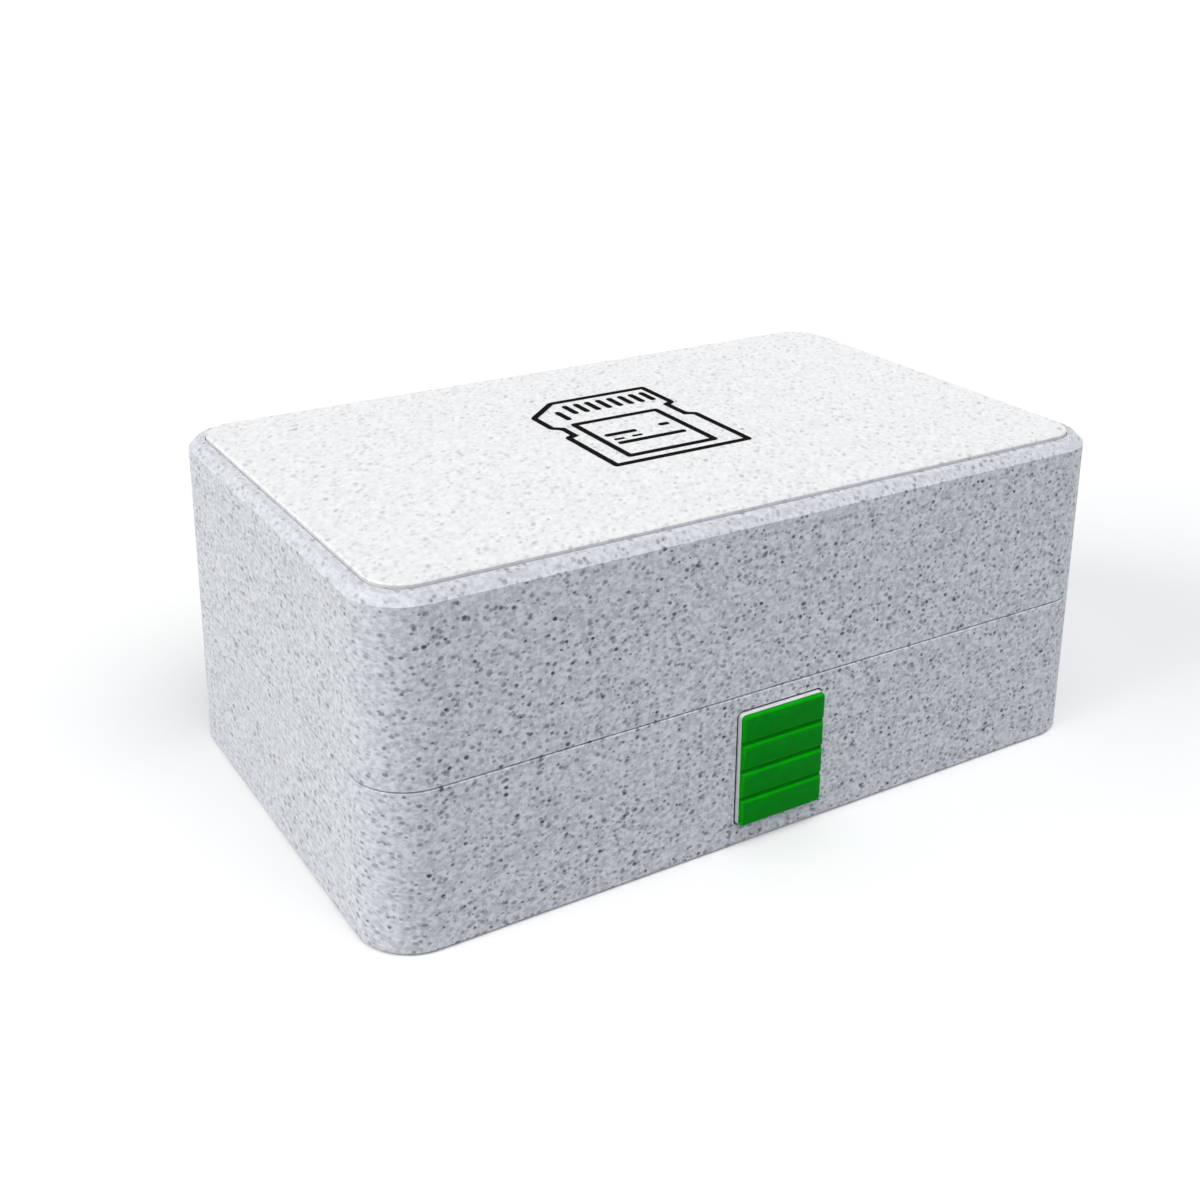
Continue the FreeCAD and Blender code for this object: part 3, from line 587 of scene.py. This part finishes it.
def finished(pieces, name, *finishes):
    """Joins the pieces into one object and gives it its name and materials."""
    bpy.ops.object.select_all(action="DESELECT")
    for piece in pieces:
        piece.select_set(True)
    bpy.context.view_layer.objects.active = pieces[0]
    if len(pieces) > 1:
        bpy.ops.object.join()
    whole = bpy.context.active_object
    whole.name = name
    bpy.ops.object.shade_smooth_by_angle(angle=math.radians(SMOOTH_ANGLE))
    whole.data.materials.clear()
    for finish in finishes:
        whole.data.materials.append(finish)
    return whole


def stroke(start, end, width, bottom, top):
    """A short bar with round ends along X or Y, lying on the panel.
    Its ends are measured from the sign's centre."""
    xs = [SIGN_CENTRE[0] + x for x in sorted((start[0], end[0]))]
    ys = [SIGN_CENTRE[1] + y for y in sorted((start[1], end[1]))]
    if xs[0] == xs[1]:
        xs = [xs[0] - width / 2, xs[1] + width / 2]
    else:
        ys = [ys[0] - width / 2, ys[1] + width / 2]
    piece = block((xs[0], ys[0], bottom), (xs[1], ys[1], top))
    select_edges(piece, lambda edge: along_axis(piece, edge, 2))
    round_edges(width * STROKE_ROUND, EDGE_STEPS)
    close_edit()
    return piece


def ring(points, bottom, top):
    """A line that runs round a closed outline, raised from the bottom to the top."""
    corners = [Vector((x + SIGN_CENTRE[0], y + SIGN_CENTRE[1], bottom)) * MM for x, y in points]
    piece = flat_face(corners)
    bpy.ops.mesh.inset(thickness=SIGN_LINE * MM)
    bpy.ops.mesh.delete(type="FACE")
    bpy.ops.mesh.select_all(action="SELECT")
    bpy.ops.mesh.extrude_region_move(TRANSFORM_OT_translate={"value": (0, 0, (top - bottom) * MM)})
    turn_faces_out()
    select_edges(piece, lambda edge: along_axis(piece, edge, 2) and any(
        (piece.data.vertices[edge.vertices[0]].co - corner).xy.length < NEAR * MM for corner in corners))
    round_edges(SIGN_CORNER, EDGE_STEPS)
    close_edit()
    return piece


def card_sign():
    panel_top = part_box("lid_top_panel")[1].z / MM
    bottom = panel_top - SIGN_SINK
    top = panel_top + SIGN_HEIGHT
    pieces = [ring(SIGN_CARD, bottom, top), ring(SIGN_LABEL, bottom, top)]
    low, high = CONTACT_ENDS
    for k in range(CONTACT_COUNT):
        x = CONTACT_FIRST + (CONTACT_LAST - CONTACT_FIRST) * k / (CONTACT_COUNT - 1)
        pieces.append(stroke((x, low), (x, high), SIGN_LINE, bottom, top))
    x, low, high = LOW_CONTACT
    pieces.append(stroke((x, low), (x, high), SIGN_LINE, bottom, top))
    for left, right, y in LABEL_STROKES:
        pieces.append(stroke((left, y), (right, y), SIGN_LINE, bottom, top))
    for left, right, y in THIN_STROKES:
        pieces.append(stroke((left, y), (right, y), SIGN_THIN_LINE, bottom, top))
    sign = finished(pieces, "card_sign", SIGN_FINISH)
    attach(sign, "lid")


def green_pad():
    """Bars on a web. The outer bars have the round corners of the web."""
    low, high = (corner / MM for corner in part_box("button_face"))
    web_front = high.y - PAD_WEB
    web = block((low.x, web_front, low.z), (high.x, high.y, high.z))
    select_edges(web, lambda edge: along_axis(web, edge, 1))
    round_edges(PAD_CORNER, CORNER_STEPS)
    close_edit()
    pieces = [web]
    bar_pitch = (high.z - low.z) / PAD_BARS
    for k in range(PAD_BARS):
        bar_low = low.z + bar_pitch * k + (PAD_GROOVE / 2 if k > 0 else 0.0)
        bar_high = low.z + bar_pitch * (k + 1) - (PAD_GROOVE / 2 if k < PAD_BARS - 1 else 0.0)
        bar = block((low.x, low.y, bar_low), (high.x, web_front + PAD_SINK, bar_high))
        outer = {0: low.z, PAD_BARS - 1: high.z}.get(k)
        if outer is not None:
            select_edges(bar, lambda edge: along_axis(bar, edge, 1) and on_plane(bar, edge, 2, outer))
            round_edges(PAD_CORNER, CORNER_STEPS)
        select_edges(bar, lambda edge: on_plane(bar, edge, 1, low.y))
        round_edges(PAD_EDGE, EDGE_STEPS)
        close_edit()
        pieces.append(bar)
    pad = finished(pieces, "green_pad", FINISH["button_green"], GREEN_PAINTED_HIGHLIGHT)
    # The soft edges of the bars get the lighter green, a painted highlight.
    for face in pad.data.polygons:
        highlighted = face.normal.y > -FACING and face.center.y / MM < low.y + PAD_EDGE
        face.material_index = 1 if highlighted else 0
    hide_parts("button_face")
    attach(pad, "button")


def button_travel():
    joint = next(joint for joint in frame["joints"] if joint["name"] == "button_press")
    return joint["range_m"][1] / MM


def coil_spring():
    """Round wire wound about Y."""
    low, high = (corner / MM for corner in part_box("button_spring"))
    length = high.y - low.y
    radius = (high.x - low.x - COIL_WIRE) / 2
    bpy.ops.object.select_all(action="DESELECT")
    bpy.ops.mesh.primitive_circle_add(vertices=COIL_SIDES, radius=COIL_WIRE / 2 * MM,
                                      location=(radius * MM, 0, 0))
    coil = bpy.context.active_object
    bpy.ops.object.transform_apply(location=True, rotation=True, scale=True)
    coil.location = Vector((0.0, low.y + COIL_WIRE / 2, (low.z + high.z) / 2)) * MM
    winding = coil.modifiers.new("winding", "SCREW")
    winding.axis = "Y"
    winding.angle = -2.0 * math.pi
    winding.iterations = COIL_TURNS
    winding.screw_offset = (length - COIL_WIRE) / COIL_TURNS * MM
    winding.steps = COIL_STEPS
    winding.render_steps = COIL_STEPS
    bpy.ops.object.modifier_apply(modifier="winding")
    bpy.ops.object.transform_apply(location=True, rotation=True, scale=True)
    bpy.ops.object.mode_set(mode="EDIT")
    bpy.ops.mesh.select_all(action="SELECT")
    bpy.ops.mesh.fill_holes(sides=0)
    turn_faces_out()
    close_edit()
    coil = finished([coil], "coil_spring", FINISH["steel"])
    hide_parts("button_spring")
    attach(coil, "base")
    1.0 - button_travel() / length
    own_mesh(coil)


def catch_pieces():
    """The root pad and the tongue with its barb, both on the lid."""
    low, high = (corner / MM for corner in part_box("lid_catch"))
    root_front, root_low = CATCH_ROOT
    root = block((low.x, root_front, root_low), (high.x, high.y, high.z))
    select_edges(root, lambda edge: on_plane(root, edge, 1, high.y))
    round_edges(CATCH_EDGE, EDGE_STEPS)
    close_edit()
    front = high.y - CATCH_THICKNESS
    barb_low, barb_high = CATCH_BARB
    tenon = root_low + CATCH_TENON
    profile = (
        (front, root_low), (front, barb_high), (low.y, barb_high), (low.y, barb_low), (front, low.z),
        (high.y, low.z), (high.y, root_low), (high.y - 2 * CATCH_EDGE, tenon), (front + CATCH_EDGE, tenon),
    )
    tongue = flat_face([Vector((low.x, y, z)) * MM for y, z in profile])
    bpy.ops.mesh.extrude_region_move(TRANSFORM_OT_translate={"value": ((high.x - low.x) * MM, 0, 0)})
    turn_faces_out()
    round_edges(CATCH_EDGE, EDGE_STEPS)
    close_edit()
    for piece, name in ((root, "catch_root"), (tongue, "catch_tongue")):
        piece = finished([piece], name, FINISH["latch_parts"])
        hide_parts("lid_catch")
        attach(piece, "lid")
    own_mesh(tongue)


bpy.ops.object.select_all(action="DESELECT")
card_sign()
green_pad()
coil_spring()
catch_pieces()
stand_camera()
for light, settings in LIGHTS.items():
    soft_sun(light, *settings)
hang_sky()
lay_table()
bpy.context.scene.view_settings.view_transform = "Standard"
